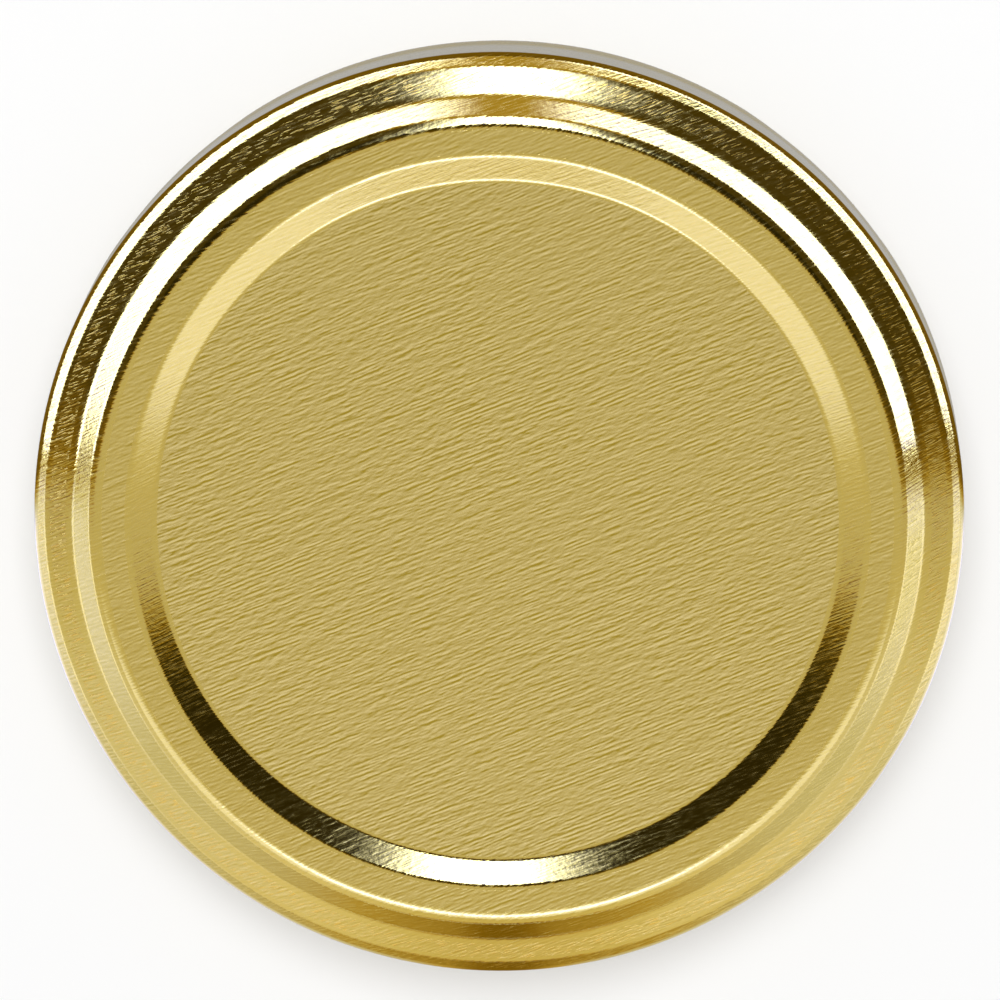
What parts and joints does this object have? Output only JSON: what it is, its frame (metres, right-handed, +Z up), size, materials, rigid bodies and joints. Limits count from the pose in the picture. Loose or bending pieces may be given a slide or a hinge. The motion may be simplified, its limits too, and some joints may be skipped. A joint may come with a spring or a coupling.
{
  "type": "twist-off jar lid",
  "caption": "Round drawn tinplate twist-off lid with a recessed panel, raised channel ring, stepped shoulder, rolled edge with pressed lugs, and a flowed-in sealing ring.",
  "frame": {"origin": "middle of the plane that the rolled edge stands on, under the lid's axis", "axes": "+Z up the lid's axis, from the open side to the panel; +Y towards the top of the picture, and the lugs lie on the diagonals between X and Y"},
  "size_m": [0.0554, 0.0554, 0.01],
  "materials": {
    "gold_tinplate": "tinplate with a straight brushed grain under clear gold lacquer, glossy on the bends",
    "sealing_compound": "smooth off-white vinyl sealing compound with a soft sheen"
  },
  "bodies": {
    "root": {"lid_shell": "gold_tinplate", "sealing_ring": "sealing_compound"}
  },
  "joints": []
}
